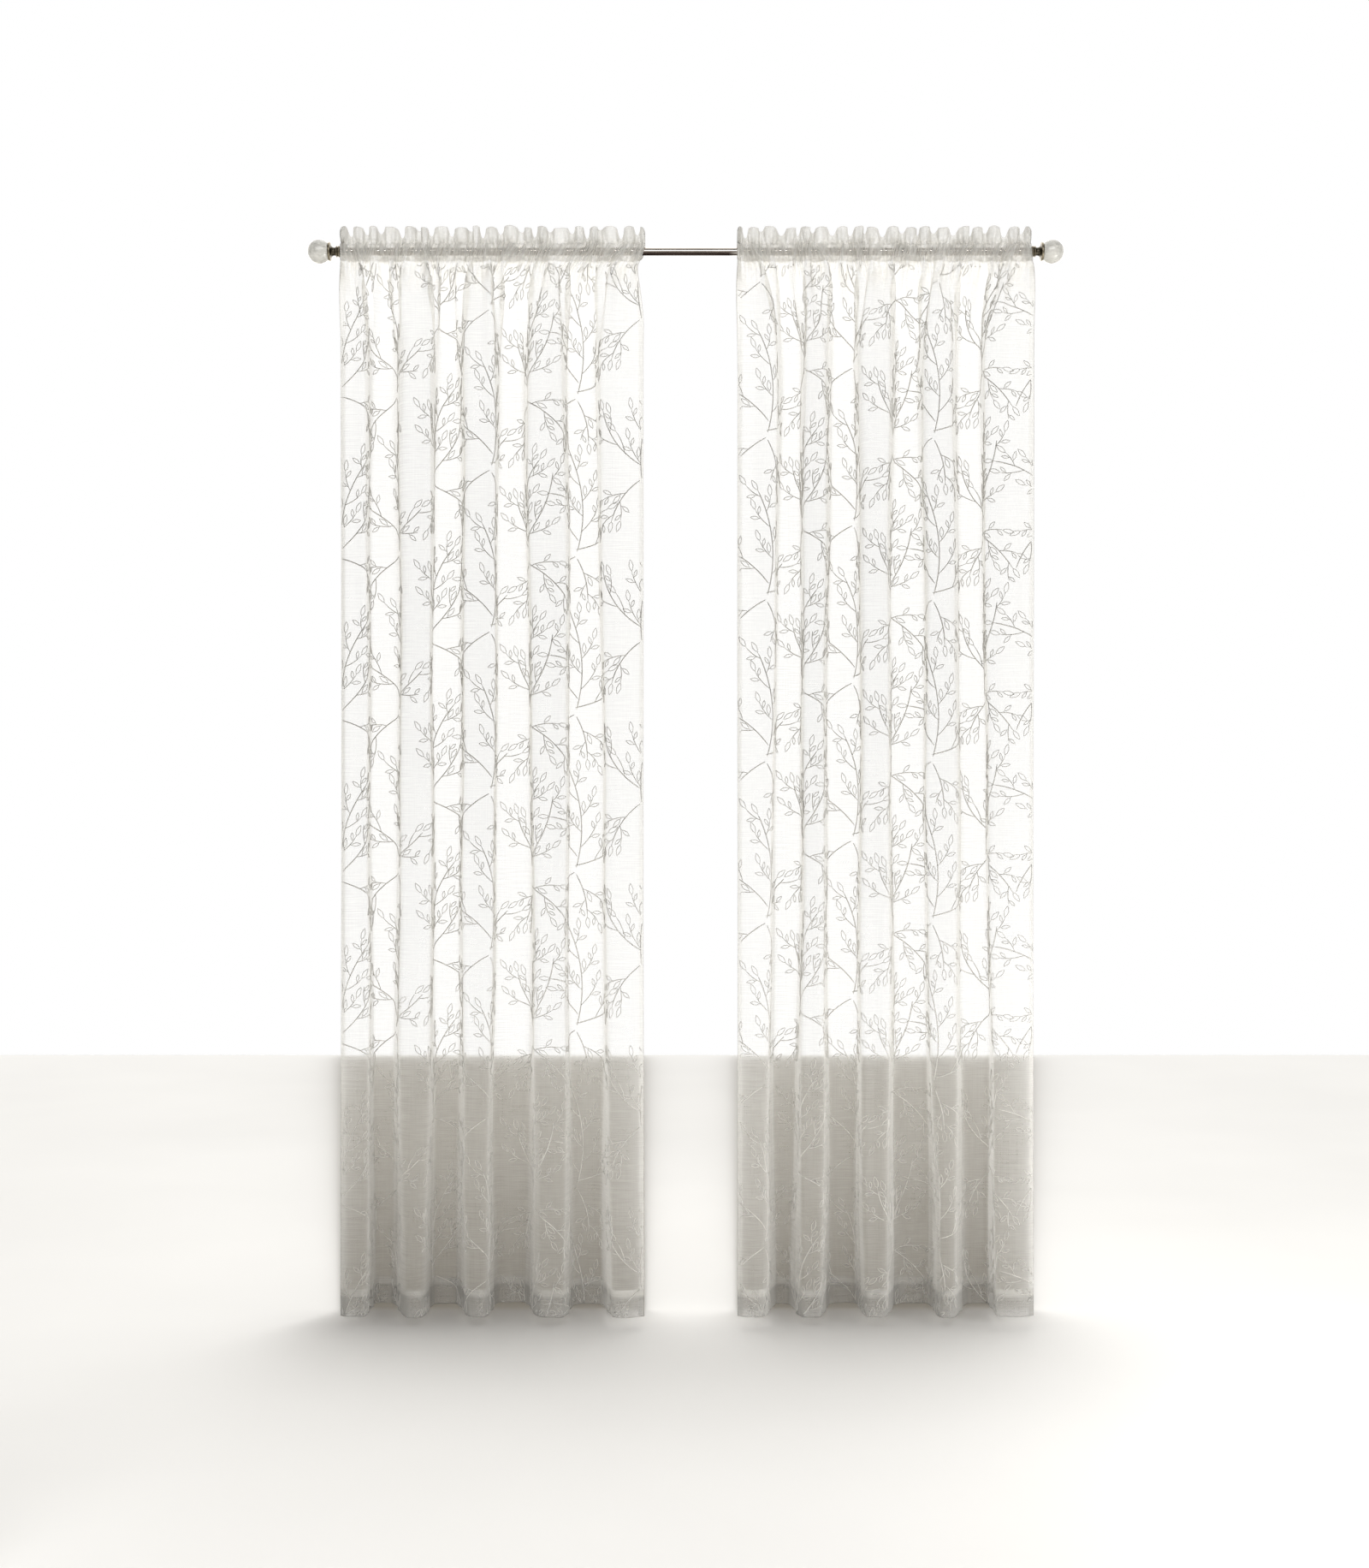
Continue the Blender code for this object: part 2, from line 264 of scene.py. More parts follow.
# Floor, and the grey gauzes behind the panels, which fall to it and lie over it
FLOOR_FAR = 3.8
FLOOR_NEAR = -7.0
FLOOR_HALF_WIDTH = 9.0
FLOOR_COLOUR = (0.89, 0.88, 0.86)
# columns: distance back, height
GAUZE_TOP = (0.075, -1.60)
GAUZE_FOOT = (0.075, -2.096)
GAUZE_FAR = (FLOOR_FAR, -2.03)
# The left gauze turns forwards past the outer edge of its panel, down to this height
GAUZE_WING = 0.09
WING_FOOT = -2.04

# columns: name, place, tilt about X and turn about Z in degrees, spread, width, height, power in watts
LIGHTS = (
    ("low_fill", (0.25, -1.3, -1.95), 98, 0, 84, 2.4, 0.4, 5.8),
    ("heading_light", (0, -0.5, 0.15), 62, 0, 110, 1.8, 0.25, 1.7),
    ("right_light", (1.9, -1.1, -1.70), 90, 60, 180, 0.7, 0.7, 14),
    ("left_light", (-1.9, -1.1, -1.70), 90, -60, 180, 0.7, 0.7, 0.6),
)
LIGHT_COLOUR = (1.0, 0.99, 0.97)
# Strength of the light from around, by direction, added up. columns: axis, from, to, strength there, here
LIGHT_AROUND = (
    ("Y", -0.35, 0.0, 0.05, 0.30),
    ("Y", 0.0, 1.0, 0.0, 2.80),
    ("Z", 0.80, 0.95, 0.0, 0.90),
)

# Turned neck of a finial, from the rod outwards. columns: distance from the rod's end, radius
NECK_PROFILE = (
    (0.0000, 0.0096),
    (0.0008, 0.0106),
    (0.0022, 0.0114),
    (0.0036, 0.0106),
    (0.0044, 0.0088),
    (0.0054, 0.0104),
    (0.0066, 0.0112),
    (0.0078, 0.0102),
    (0.0086, 0.0084),
    (0.0110, 0.0078),
    (0.0140, 0.0084),
    (0.0160, 0.0096),
    (0.0174, 0.0118),
    (0.0181, 0.0160),
    (0.0188, 0.0178),
    (0.0200, 0.0181),
    (0.0214, 0.0181),
    (0.0224, 0.0177),
    (0.0230, BALL_SEAT_RADIUS),
)


def tint(name, description, default):
    """A setting that holds a colour."""
    return FloatVectorProperty(
        name=name, description=description, default=default, subtype="COLOR", size=3, min=0.0, max=1.0
    )


def measure(name, description, default):
    """A setting that holds a length, or a height that may be below the rod."""
    return FloatProperty(name=name, description=description, default=default, unit="LENGTH")


class ClothSettings(bpy.types.PropertyGroup):
    flat_width: measure("Flat width", "Width of one panel before it is gathered", 1.27)
    flat_length: measure(
        "Flat length", "Length of one panel's cut cloth, with what the hem and the pocket take", 2.30
    )
    cover: FloatProperty(
        name="Cover",
        description="Share of what is behind one layer of the cloth that its yarns hide",
        default=0.34,
        min=0.05,
        max=0.95,
        subtype="FACTOR",
    )
    yarn_colour: tint("Yarn colour", "Colour of the voile's yarns", (0.80, 0.79, 0.76))
    thread_colour: tint("Thread colour", "Colour of the embroidery thread", (0.66, 0.64, 0.60))


class HardwareSettings(bpy.types.PropertyGroup):
    rod_colour: tint("Rod colour", "Colour of the rod's polished nickel", (0.58, 0.53, 0.48))
    neck_colour: tint("Neck colour", "Colour of the finials' aged brass", (0.38, 0.33, 0.24))
    ball_colour: tint("Ball colour", "Colour of the crackled glass balls", (0.84, 0.825, 0.765))


class StageSettings(bpy.types.PropertyGroup):
    floor_height: measure("Floor height", "Height of the floor below the rod's axis", -2.105)
    camera_distance: measure("Camera distance", "How far in front of the rod the camera stands", 3.9)
    camera_height: measure("Camera height", "Height of the camera from the rod's axis", -1.050)
    camera_shift: measure("Camera shift", "How far right of the rod's middle the camera stands", -0.0025)
    focal_length: FloatProperty(
        name="Focal length",
        description="Focal length of the camera, in millimetres, on a sensor 36 mm high",
        default=45.4,
        unit="CAMERA",
    )


def blend(start, end, share):
    return start + (end - start) * share


def ease(share):
    share = np.clip(share, 0.0, 1.0)
    return share * share * (3 - 2 * share)


def eased(value, low, high):
    return float(ease((value - low) / (high - low)))


def unevenness(waves, place, start):
    return sum(size * np.sin(pace * place + start) for size, pace in waves)


def curve_through(points, steps):
    """Points along a smooth curve through the given ones, with that many steps in each span."""
    points = np.asarray(points, float)
    ends = np.vstack([2 * points[0] - points[1], points, 2 * points[-1] - points[-2]])
    steps_out = np.diff(ends, axis=0)
    gaps = np.sqrt(np.linalg.norm(steps_out, axis=1))[:, None]
    before, after = gaps[:-1], gaps[1:]
    first, second = steps_out[:-1], steps_out[1:]
    slopes = first / before + second / after - (first + second) / (before + after)
    u = (np.arange(steps) / steps)[None, :, None]
    reach = gaps[1:-1][:, None, :]
    made = (
        points[:-1, None, :] * (2 * u**3 - 3 * u**2 + 1)
        + slopes[:-1, None, :] * reach * (u**3 - 2 * u**2 + u)
        + points[1:, None, :] * (3 * u**2 - 2 * u**3)
        + slopes[1:, None, :] * reach * (u**3 - u**2)
    )
    return np.vstack([made.reshape(-1, points.shape[1]), points[-1:]])


def run_along(line):
    """Distance along a line to each of its points."""
    return np.concatenate([[0.0], np.cumsum(np.linalg.norm(np.diff(line, axis=0), axis=1))])


def spread_along(line, shares):
    """Points at the given shares of a line's length."""
    run = run_along(line)
    return np.column_stack([np.interp(shares * run[-1], run, values) for values in line.T])


def edge_at(fold, height):
    """A fold's left edge at a height, eased between the heights of the table."""
    levels = list(zip(TABLE_HEIGHTS, fold))
    for (upper, above), (lower, below) in zip(levels, levels[1:]):
        if height >= lower:
            return float(blend(above, below, ease((upper - height) / (upper - lower))))
    return levels[-1][1]


def fold_turns(folds, height, start, deep):
    """The turns of a panel's folds at a height, seen from above, from its left edge to its right."""
    corner = np.interp(-height, *zip(*FOLD_CORNERS))
    edges, stands = [], []
    for number, fold in enumerate(folds):
        inner = 0 < number < len(folds) - 1
        sway = sum(
            size * math.sin(pace * height + step * number + share * start)
            for size, pace, step, share in EDGE_SWAYS
        )
        edges.append(edge_at(fold, height) + sway * inner)
        size, pace, step = DEPTH_SWAY
        sway = size * math.sin(pace * height + step * number + start)
        stands.append(fold[4] * deep * (1 + sway))
    turns = []
    last = len(folds) - 2
    for number in range(last + 1):
        left, right, stand = edges[number], edges[number + 1], stands[number]
        outward = math.copysign(1.0, stand)
        if number == 0:
            turns.append((left, stand - outward * EDGE_TURN))
        turns.append((left + corner, stand))
        turns.append(((left + right) / 2, stand + outward * FOLD_CROWN))
        turns.append((right - corner, stand))
        if number == last:
            turns.append((right, stand - outward * EDGE_TURN))
        else:
            turns.append((right, (stand + stands[number + 1]) / 2))
    return turns


def folded_line(folds, height, start, width):
    """The folds at a height, just as deep as the cloth's flat width makes them."""
    deep = 1.0
    hung = edge_at(folds[-1], height) - edge_at(folds[0], height)
    for _ in range(DEPTH_ROUNDS):
        line = curve_through(fold_turns(folds, height, start, deep), STEPS_PER_SPAN)
        deep = min(deep * (width - hung) / (run_along(line)[-1] - hung), DEEPEST)
    return line


def heading_places(left, right, lobes, start, shares, wave):
    """Where the gathered heading puts the cloth along the rod, in uneven, wide-headed lobes."""
    lobe = lobes * shares
    crinkled = 1 - wave / LARGEST_WAVE
    shift = unevenness(LOBE_SHIFTS, lobe, start) + crinkled * unevenness(CRINKLE_SHIFTS, lobe, start)
    shift = shift * np.minimum(1.0, 8 * np.minimum(shares, 1 - shares))
    widened = LOBE_WIDENING * np.sin(4 * np.pi * lobe) / (4 * np.pi)
    widened = widened + LOBES_OVER_HOLLOWS * np.sin(2 * np.pi * lobe) / (2 * np.pi)
    widened = widened * wave / LARGEST_WAVE
    return left + (right - left) / lobes * (lobe + shift + widened)


def ruffle_rise(lobe, start, up, across):
    """How the ruffle's top edge stands on its lobes, dips between them and rounds off at its ends."""
    uneven = unevenness(TOP_SHIFTS, lobe, start)
    hollow = ((1 - np.cos(2 * np.pi * lobe)) / 2) ** NOTCH_SHARPNESS
    depth = np.clip(USUAL_NOTCH + unevenness(NOTCH_DEPTHS, np.floor(lobe), start), 0.05, 1.0)
    from_end = np.minimum(across - across[0], across[-1] - across)
    near = np.clip(1 - from_end / END_ROUNDING, 0.0, 1.0)
    rounded = END_ROUNDING * (1 - np.sqrt(1 - near**2))
    return (uneven - LARGEST_NOTCH * depth * hollow - rounded) * ease(up)


def ridge(turn, sharpness):
    """A wave from -1 to 1 whose crests are narrower than its hollows."""
    return 2 * ((1 + np.cos(turn)) / 2) ** sharpness - 1


def sheet_rows():
    """The cloth's rows in one run: from the edge turned in at the hem, down the hem's back, up the front,
    over the ruffle's top and down its back to the pocket's lower seam. Each is a place and a height."""
    hem = [HEM_BOTTOM + level for level in HEM_LEVELS[1:]]
    plain = round((FINE_ROWS_END - HEM_TOP) / PLAIN_ROW)
    fine = round((SEAM_BELOW - FINE_ROWS_END) / FINE_ROW)
    pocket = np.linspace(SEAM_BELOW, SEAM_ABOVE, POCKET_STEPS, endpoint=False)
    ruffle = np.linspace(SEAM_ABOVE, HEADING_TOP - RUFFLE_TOP_STEP, RUFFLE_STEPS)
    runs = (
        ("turned_in", [HEM_TOP - HEM_TURNED_IN + HEM_TURNED_IN * share for share in TURNED_IN_SHARES]),
        ("hem_back", [HEM_TOP, *reversed(hem)]),
        ("hem_fold", [HEM_BOTTOM]),
        ("front", hem),
        ("front", np.linspace(HEM_TOP, FINE_ROWS_END, plain, endpoint=False)),
        ("front", np.linspace(FINE_ROWS_END, SEAM_BELOW, fine, endpoint=False)),
        ("pocket_front", pocket),
        ("ruffle_front", ruffle),
        ("ruffle_top", [HEADING_TOP]),
        ("ruffle_back", ruffle[::-1]),
        ("pocket_back", pocket[::-1]),
    )
    return [(place, height) for place, heights in runs for height in heights]


def gathering(height):
    """How far down the gathers a height is, and how far its cloth is out to its folds and as deep."""
    down = min(max((SEAM_BELOW - height) / (SEAM_BELOW - GATHER_END), 0.0), 1.0)
    fallen = SPREAD_AT_SEAM + (1 - SPREAD_AT_SEAM) * (1 - (1 - down) ** SPREAD_PACE)
    if height >= SEAM_BELOW:
        fallen = SPREAD_AT_SEAM * eased(height, SEAM_ABOVE, SEAM_BELOW)
    return down, fallen, 1 - (1 - down) ** DEPTH_PACE


def fine_share_at(height):
    """Share of the cloth's slack that its fine crinkles take, and its wide ridges leave."""
    in_folds, in_pocket, over_pocket, at_top = FINE_SHARES
    if height > SEAM_ABOVE:
        return blend(over_pocket, at_top, eased(height, SEAM_ABOVE, HEADING_TOP))
    return blend(in_folds, in_pocket, 1 - eased(height, SEAM_BELOW, CRINKLE_END))


def evened_run(base, step):
    """Metres of line for each metre of flat cloth, evened out along the line."""
    run = np.linalg.norm(np.gradient(base, axis=0), axis=1) / step
    weights = np.ones(2 * RUN_SMOOTHING + 1) / (2 * RUN_SMOOTHING + 1)
    padded = np.pad(run, RUN_SMOOTHING, mode="edge")
    return np.clip(np.convolve(padded, weights, mode="valid"), SMALLEST_RUN, 1.0)


def crinkles(lobe, height, start, full):
    """Size and shape of the fine crinkles at a height, from the size that would take up their slack."""
    turn = 2 * np.pi * CRINKLES_PER_LOBE * lobe
    for size, pace, share in CRINKLE_SWAYS:
        turn = turn + size * np.sin(pace * lobe + share * start)
    slant, pace, climb = CRINKLE_SLANT
    turn = turn + slant * np.sin(pace * lobe + climb * height)
    uneven, pace, share = CRINKLE_SIZES
    size = np.minimum(full, LARGEST_CRINKLE) * (1 + uneven * np.sin(pace * lobe + share * start))
    if height < SEAM_BELOW:
        size = size * (1 - eased(height, SEAM_BELOW, CRINKLE_END) * CRINKLES_LOST_BELOW)
    return size, ridge(turn, CRINKLE_SHARPNESS)


def ridges(lobe, height, start, full, down, wave):
    """The wide ridges below the pocket, or the ruffle's lobes above it."""
    sway, pace = RIDGE_SWAY
    turn = 2 * np.pi * lobe + sway * down * np.sin(pace * lobe + start)
    uneven = 1 + unevenness(LOBE_SIZES, lobe, start)
    if height > SEAM_ABOVE:
        return wave * uneven * np.cos(turn)
    size = np.minimum(full, LARGEST_RIDGE) * uneven
    size = size * (1 - eased(height, SEAM_BELOW, SEAM_BELOW + RIDGE_FADE) * RIDGES_LOST_IN_POCKET)
    return size * (1 - float(ease(down * 1.1))) * ridge(turn, RIDGE_SHARPNESS)


def cloth_line(panel, width, height, shares):
    """The middle of the cloth at a height, its normals, its ripples along them, and its fine crinkles."""
    _, folds, left, right, lobes, start = panel
    lobe = lobes * shares
    down, fallen, deep = gathering(height)
    wave = np.interp(height, *zip(*RUFFLE_WAVES))
    gathered = heading_places(left, right, lobes, start, shares, wave)
    hanging = blend(edge_at(folds[0], height), edge_at(folds[-1], height), shares)
    even = blend(gathered, hanging, eased(height, EVENING_START, EVENING_END))
    folded = spread_along(folded_line(folds, height, start, width), shares)
    base = np.column_stack([blend(even, folded[:, 0], fallen), folded[:, 1] * deep])
    base[:, 0] *= 1 + FOLD_SPLAY * base[:, 1]
    run = evened_run(base, width / (len(shares) - 1))
    slack = 1 / run - 1
    fine_share = fine_share_at(height)
    lobe_run = run * width / lobes / np.pi
    full = lobe_run / CRINKLES_PER_LOBE * np.sqrt(fine_share * slack)
    fine_size, fine = crinkles(lobe, height, start, full)
    wide = ridges(lobe, height, start, lobe_run * np.sqrt((1 - fine_share) * slack), down, wave)
    soft = 0.0
    for size, wavelength, sway, pace, share in SOFT_WAVES:
        bent = sway * np.sin(pace * height + share * start)
        soft = soft + size * np.sin(2 * np.pi * shares * width / wavelength + bent)
    return base, line_normals(base), wide + soft * float(ease(down / 0.5)), fine_size, fine


def units(vectors):
    return vectors / np.maximum(np.linalg.norm(vectors, axis=1), 1e-12)[:, None]


def line_normals(line):
    """Unit normals of a line seen from above, on its room side."""
    along = np.gradient(line, axis=0)
    return units(np.column_stack([along[:, 1], -along[:, 0]]))


def flat_columns(width):
    """Share of the panel's width at each column of its grid, with the side hems turned back over it."""
    steps = np.arange(COLUMNS + 1) / COLUMNS
    turned = SIDE_HEM / width * np.arange(SIDE_HEM_STEPS, 0, -1) / SIDE_HEM_STEPS
    return steps, np.concatenate([turned, steps, 1 - turned[::-1]])


def cloth_row(place, height, found, lobes, start, steps):
    """Points of one row of the cloth: its line at that height, moved out to the row's own layer."""
    base, normals, wide, fine_size, fine = found
    line = base + normals * (wide + fine_size * fine - HEM_LAYERS.get(place, 0) * LAYER_GAP)[:, None]
    rise = 0.0
    outward = {"front": -1, "top": 0, "back": 1}.get(place.split("_")[-1], 0)
    if place.startswith("pocket"):
        share = math.sqrt(max(0.0, 1 - (height / SEAM_BELOW) ** 2))
        bulge = blend(SEAM_HALF, ROD_RADIUS + POCKET_CLEARANCE, share)
        line[:, 1] += outward * (bulge + fine_size * share)
    elif place.startswith("ruffle"):
        up = (height - SEAM_ABOVE) / (HEADING_TOP - SEAM_ABOVE)
        puff = blend(SEAM_HALF, RUFFLE_PUFF, math.sin(math.pi * min(up, 1.0) ** PUFF_PLACE))
        line = line - normals * (outward * puff)
        rise = ruffle_rise(lobes * steps, start, up, line[:, 0])
    elif place in HEM_LAYERS:
        rise = HEM_WAVE * np.sin(2.9 * lobes * steps / 4 + start)
    return np.column_stack([line, np.full(len(steps), float(height)) + rise])


def cloth_grid(panel, width):
    """Points of one panel's cloth, as rows of columns, and the flat place of each row."""
    start, lobes = panel[5], panel[4]
    steps, shares = flat_columns(width)
    behind = np.zeros((len(shares), 1))
    behind[:SIDE_HEM_STEPS] = behind[-SIDE_HEM_STEPS:] = LAYER_GAP
    grid, lines = [], {}
    rows = sheet_rows()
    for place, height in rows:
        key = round(float(height), 6)
        if key not in lines:
            lines[key] = cloth_line(panel, width, float(height), steps)
        points = cloth_row(place, height, lines[key], lobes, start, steps)
        row = np.column_stack([np.interp(shares, steps, values) for values in points.T])
        inward = np.column_stack([np.interp(shares, steps, values) for values in lines[key][1].T])
        turn_back = 1 if place in ("ruffle_back", "pocket_back") else -1
        row[:, :2] += inward * turn_back * behind
        grid.append(row)
    grid = np.array(grid)
    middle = grid[:, SIDE_HEM_STEPS:-SIDE_HEM_STEPS]
    rises = np.abs(np.diff([height for _, height in rows]))
    sideways = np.median(np.linalg.norm(np.diff(middle, axis=0)[:, :, :2], axis=2), axis=1)
    slanted = np.hypot(rises, np.minimum(sideways, LARGEST_SIDESTEP))
    return grid, np.concatenate([[0.0], np.cumsum(np.where(rises < PLAIN_STEP, slanted, rises))])


def add_object(name, data):
    made = bpy.data.objects.new(name, data)
    bpy.context.scene.collection.objects.link(made)
    return made


def add_mesh(name, points, faces, places=None):
    """A mesh piece from points and faces, with the flat place of each corner as its UV map."""
    mesh = bpy.data.meshes.new(name)
    mesh.vertices.add(len(points))
    mesh.vertices.foreach_set("co", np.asarray(points, np.float32).ravel())
    corners = np.asarray(faces, np.int32)
    mesh.loops.add(corners.size)
    mesh.loops.foreach_set("vertex_index", corners.ravel())
    mesh.polygons.add(len(corners))
    starts = np.arange(0, corners.size, corners.shape[1], dtype=np.int32)
    mesh.polygons.foreach_set("loop_start", starts)
    if places is not None:
        layer = mesh.uv_layers.new(name="flat")
        layer.data.foreach_set("uv", np.asarray(places, np.float32)[corners.ravel()].ravel())
    mesh.update(calc_edges=True)
    mesh.validate()
    mesh.shade_smooth()
    return add_object(name, mesh)


def grid_faces(rows, columns):
    corner = np.arange(rows * columns).reshape(rows, columns)
    quads = (corner[:-1, :-1], corner[:-1, 1:], corner[1:, 1:], corner[1:, :-1])
    return np.column_stack([quad.ravel() for quad in quads])


def walk(start, heading, length, bend, step):
    """Points of a stem that starts at a place and turns evenly by its bend."""
    count = max(2, round(length / step))
    points = [start]
    for i in range(count):
        turn = math.radians(heading + bend * (i + 0.5) / count)
        x, y = points[-1]
        points.append((x + length / count * math.cos(turn), y + length / count * math.sin(turn)))
    return points


def apart(place, other):
    """Distance between two places of the repeat, over its edges."""
    best = math.inf
    for column in (-1, 0, 1):
        for row in (-2, -1, 0, 1, 2):
            right = place[0] - other[0] + column * REPEAT_WIDTH
            up = place[1] - other[1] + row * REPEAT_HEIGHT + HALF_DROP * (column % 2)
            best = min(best, math.hypot(right, up))
    return best


def free_of(place, others, room):
    return all(apart(place, other) >= room for other in others)


def leaf_lines(tip, heading, size, curl, leaves, stems):
    """A leaf stitched as an open pointed loop on a short stalk, where there is room for it."""
    leaning = math.radians(heading + curl / 2)
    reach = STALK_LENGTH * size
    base = (tip[0] + reach * math.cos(leaning), tip[1] + reach * math.sin(leaning))
    heading = math.radians(heading + curl)
    c, s = math.cos(heading), math.sin(heading)
    half = LEAF_LENGTH * size / 2
    middle = (base[0] + c * half, base[1] + s * half)
    if not (free_of(middle, leaves, ROOM_FOR_LEAF) and free_of(middle, stems, ROOM_FOR_STEM)):
        return []
    leaves.append(middle)
    line = [tip]
    for i in range(LEAF_SIDES + 1):
        turn = 2 * math.pi * i / LEAF_SIDES
        reach = (1 - math.cos(turn)) / 2
        bow = math.sin(math.pi * reach**0.85) ** 0.9 if 0.001 < reach < 0.999 else 0.0
        along = LEAF_LENGTH * size * reach
        across = math.copysign(LEAF_WIDTH * size / 2 * bow, math.sin(turn))
        line.append((base[0] + c * along - s * across, base[1] + s * along + c * across))
    return [(line, LEAF_HALF_WIDTH)]


def branch_chart():
    """Every stitched line of one repeat, with half its width: stems, twigs by turns, and leaves."""
    lines, stems, twigs = [], [], []
    for right, up, heading, length, bend, count, side, bare in BRANCHES:
        stem = walk((right, up), heading, length, bend, STEM_STEP)
        lines.append((stem, STEM_HALF_WIDTH))
        stems += stem
        twigs.append((stem[-1], heading + bend, 0, 0.0, 0))
        for k in range(count):
            at = bare + (LAST_TWIG - bare) * k / max(1, count - 1)
            size = TWIG_SIZE - TWIG_SHRINK * at + TWIG_UNEVEN * math.sin(2.3 * k + right)
            twigs.append((stem[round(at * (len(stem) - 1))], heading + bend * at, side, size, k))
            side = -side
    leaves = []
    for start, heading, side, size, k in twigs:
        if side == 0:
            lines += leaf_lines(start, heading, END_LEAF, 5, leaves, [])
            continue
        heading += side * (TWIG_ANGLE + 7 * math.sin(k * 1.7 + start[0]))
        twig = walk(start, heading, TWIG_LENGTH * size, -side * TWIG_BEND, TWIG_STEP)
        if not (free_of(twig[-1], stems, ROOM_FOR_TWIG) and free_of(twig[-1], leaves, ROOM_FOR_LEAF)):
            continue
        lines.append((twig, TWIG_HALF_WIDTH))
        lines += leaf_lines(twig[-1], heading - side * TWIG_BEND, END_LEAF, -side * 8, leaves, [])
        count = 3 if TWIG_LENGTH * size > LONG_TWIG else 2
        hand = -side
        for m in range(count):
            at = FIRST_LEAF - LEAF_SPAN * m / (count - 1)
            foot = twig[max(1, round(at * (len(twig) - 1)))]
            leaning = heading - side * TWIG_BEND * at + hand * LEAF_ANGLE
            lines += leaf_lines(foot, leaning, 0.74 + 0.16 * m, -hand * LEAF_CURL, leaves, stems)
            hand = -hand
    return [(np.array(line) / 1000, half_width) for line, half_width in lines]


def stitched_lines(width, length, shift):
    """The repeat's lines laid over a whole flat panel, each cut off where the cloth ends."""
    made = []
    chart = branch_chart()
    columns = math.ceil(width * 1000 / REPEAT_WIDTH) + 1
    rows = math.ceil(length * 1000 / REPEAT_HEIGHT) + 1
    for column in range(-1, columns):
        for row in range(-1, rows + 1):
            right = (column * REPEAT_WIDTH + shift[0]) / 1000
            up = (row * REPEAT_HEIGHT + HALF_DROP * (column % 2) + shift[1]) / 1000
            for line, half_width in chart:
                moved = line + (right, up)
                inside = (moved > EDGE_MARGIN) & (moved < (width - EDGE_MARGIN, length - EDGE_MARGIN))
                run = []
                for point, kept in zip([*moved, None], [*inside.all(axis=1), False]):
                    if kept:
                        run.append(point)
                        continue
                    if len(run) > 2:
                        made.append((np.array(run), half_width))
                    run = []
    return made


def lay_on_cloth(flat, width, grid, along):
    """Where flat places lie on the hanging cloth, and the cloth's normal there on its stitched face."""
    middle = grid[:, SIDE_HEM_STEPS:-SIDE_HEM_STEPS]
    columns = flat[:, 0] / width * COLUMNS
    rows = np.interp(flat[:, 1], along, np.arange(len(along)))
    i = np.clip(rows.astype(int), 0, len(along) - 2)
    j = np.clip(columns.astype(int), 0, COLUMNS - 1)
    a = (rows - i)[:, None]
    b = (columns - j)[:, None]
    p00, p01, p10, p11 = middle[i, j], middle[i, j + 1], middle[i + 1, j], middle[i + 1, j + 1]
    place = (p00 * (1 - b) + p01 * b) * (1 - a) + (p10 * (1 - b) + p11 * b) * a
    right = (p01 - p00) * (1 - a) + (p11 - p10) * a
    up = (p10 - p00) * (1 - b) + (p11 - p01) * b
    return place, units(np.cross(right, up))


def stitch_tubes(lines, width, grid, along):
    """Low three-sided strands of thread along the lines, on the face of the cloth."""
    points, faces, places = [], [], []
    total = 0
    for flat, half_width in lines:
        place, normal = lay_on_cloth(flat, width, grid, along)
        side = units(np.cross(np.gradient(place, axis=0), normal))
        count = len(flat)
        taper = np.ones(count)
        taper[[0, -1]] = THREAD_TAPER
        half = (half_width * taper)[:, None]
        foot = place - normal * THREAD_SUNK
        top = place + normal * THREAD_HEIGHT
        rings = np.stack([foot - side * half, foot + side * half, top], axis=1)
        points.append(rings.reshape(-1, 3))
        run = run_along(flat)
        places.append(np.stack([np.repeat(run, 3), np.tile([0.0, 1.0, 0.5], count)], axis=1))
        ring = total + 3 * np.arange(count - 1)[:, None]
        for first, second in ((0, 1), (1, 2), (2, 0)):
            quads = np.column_stack([ring + first, ring + second, ring + 3 + second, ring + 3 + first])
            faces.append(quads[:, [0, 1, 2]])
            faces.append(quads[:, [0, 2, 3]])
        end = total + 3 * (count - 1)
        faces.append(np.array([[total, total + 2, total + 1], [end, end + 1, end + 2]]))
        total += 3 * count
    return np.vstack(points), np.vstack(faces)[:, ::-1], np.vstack(places)


def start_piece(name):
    """Names the primitive just added, and puts its place and turn into its mesh."""
    piece = bpy.context.active_object
    piece.name = piece.data.name = name
    bpy.ops.object.transform_apply(location=True, rotation=True, scale=True)
    return piece


def push_face(distance):
    """Extrudes the selected faces along the rod."""
    bpy.ops.mesh.extrude_region_move(TRANSFORM_OT_translate={"value": (distance, 0, 0)})


def round_edges(piece, width, segments, degrees):
    rounding = piece.modifiers.new("rounding", "BEVEL")
    rounding.width = width
    rounding.segments = segments
    rounding.limit_method = "ANGLE"
    rounding.angle_limit = math.radians(degrees)
    bpy.ops.object.modifier_apply(modifier="rounding")


def select_faces(piece, wanted):
    """Selects the faces that a test picks by centre and normal, and leaves the piece in edit mode."""
    if bpy.context.mode != "OBJECT":
        bpy.ops.object.mode_set(mode="OBJECT")
    mesh = piece.data
    for part in (mesh.vertices, mesh.edges):
        part.foreach_set("select", np.zeros(len(part), bool))
    for face in mesh.polygons:
        face.select = wanted(face.center, face.normal)
    bpy.ops.object.mode_set(mode="EDIT")
    bpy.ops.mesh.select_mode(type="FACE")


